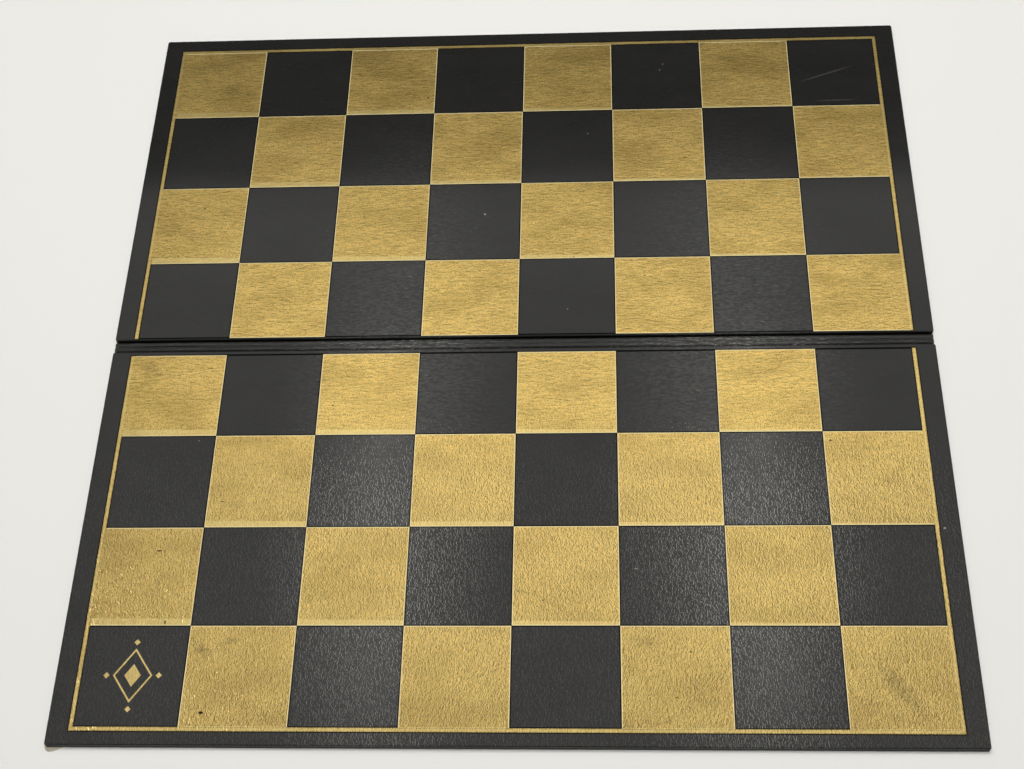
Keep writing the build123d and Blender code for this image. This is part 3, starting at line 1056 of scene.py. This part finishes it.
def seen_rays(tree):
    """Whether a ray comes straight from the camera, and whether it comes off a gloss or through glass."""
    rays = tree.nodes.new("ShaderNodeLightPath").outputs
    mirrored = calculate(tree, "MAXIMUM", rays["Is Glossy Ray"], rays["Is Transmission Ray"])
    return rays["Is Camera Ray"], mirrored


def plain_floor():
    """A plain pale table that runs into the backdrop well away from the board."""
    made, tree = new_material("pale_table")
    top = add_node(tree, "ShaderNodeBsdfPrincipled", Base_Color=TABLE_COLOUR, Roughness=0.9)
    top.inputs["Specular IOR Level"].default_value = 0.1
    backdrop = add_node(tree, "ShaderNodeEmission", Color=BACKDROP_COLOUR, Strength=BACKDROP_STRENGTH)
    away = spread(tree, length_of(tree, object_point(tree)), *TABLE_FADE)
    share = calculate(tree, "MULTIPLY", calculate(tree, "MAXIMUM", *seen_rays(tree)), away)
    surface = add_node(tree, "ShaderNodeMixShader", Fac=share)
    tree.links.new(top.outputs[0], surface.inputs[1])
    tree.links.new(backdrop.outputs[0], surface.inputs[2])
    output = tree.nodes.new("ShaderNodeOutputMaterial")
    tree.links.new(surface.outputs[0], output.inputs["Surface"])
    mesh = bmesh.new()
    bmesh.ops.create_grid(mesh, x_segments=1, y_segments=1, size=TABLE_SIZE / 2)
    data = bpy.data.meshes.new("table")
    mesh.to_mesh(data)
    mesh.free()
    data.materials.append(made)
    table = bpy.data.objects.new("table", data)
    bpy.context.scene.collection.objects.link(table)


def area_lamp(name, place, target, width, length, power):
    """A soft lamp that faces a point, and its holder."""
    lamp = bpy.data.lights.new(name, "AREA")
    lamp.shape = "RECTANGLE"
    lamp.size = width
    lamp.size_y = length
    lamp.energy = power
    lamp.color = LAMP_COLOUR
    holder = bpy.data.objects.new(name, lamp)
    facing = (Vector(target) - Vector(place)).to_track_quat("-Z", "Y")
    holder.matrix_world = Matrix.LocRotScale(Vector(place), facing, None)
    bpy.context.scene.collection.objects.link(holder)
    return holder


def overhead_lamp(name):
    """A soft lamp that faces straight down."""
    x, y, level, width, length, power = OVERHEAD_LAMPS[name]
    return area_lamp(name, (x, y, level), (x, y, 0), width, length, power)


def studio_lamps():
    """Lamps overhead, a panel at each side that only glosses see, and a fill that no gloss sees."""
    for name in ("soft_ceiling", "far_ceiling", "left_strip", "right_strip"):
        overhead_lamp(name)
    for name, place in PANEL_PLACES.items():
        panel = area_lamp(name, place, (0, 0, 0), PANEL_SIZE, PANEL_SIZE, PANEL_POWER)
        panel.visible_diffuse = False
    fill = overhead_lamp("fill_panel")
    fill.visible_glossy = False


def dim_room():
    """A dim room above a backdrop that is bright to the camera, and low down to a gloss."""
    world = bpy.data.worlds.new("room")
    bpy.context.scene.world = world
    world.use_nodes = True
    tree = world.node_tree
    tree.nodes.clear()
    direction = tree.nodes.new("ShaderNodeSeparateXYZ")
    tree.links.new(tree.nodes.new("ShaderNodeTexCoord").outputs["Generated"], direction.inputs[0])
    straight, mirrored = seen_rays(tree)
    low = spread(tree, direction.outputs["Z"], *HORIZON, 1.0, 0.0)
    seen = calculate(tree, "MAXIMUM", straight, calculate(tree, "MULTIPLY", mirrored, low))
    background = add_node(tree, "ShaderNodeBackground", Color=BACKDROP_COLOUR,
                          Strength=blend_values(tree, seen, ROOM_STRENGTH, BACKDROP_STRENGTH))
    output = tree.nodes.new("ShaderNodeOutputWorld")
    tree.links.new(background.outputs[0], output.inputs["Surface"])


def set_camera():
    """The camera, which looks down on the board from its near side."""
    lens = bpy.data.cameras.new("camera")
    lens.sensor_width = CAMERA_SENSOR
    lens.lens = CAMERA_LENS
    lens.clip_start = CAMERA_CLIP
    camera = bpy.data.objects.new("camera", lens)
    turn = Matrix((CAMERA_RIGHT, -CAMERA_DOWN, -CAMERA_AHEAD)).transposed().to_4x4()
    camera.matrix_world = Matrix.Translation(CAMERA_PLACE) @ turn
    bpy.context.scene.collection.objects.link(camera)
    bpy.context.scene.camera = camera


set_camera()
materials = make_materials()
plain_floor()
studio_lamps()
dim_room()
for half in SIDES:
    covering(half)
    frame_line(half)
    lining(half)
    greyboard_core(half)
    foil_squares(half)
    ridge_half(half)
corner_ornament()
hinge_bed()
hinge_cloth()

bpy.context.scene.view_settings.view_transform = "Standard"
bpy.context.view_layer.update()
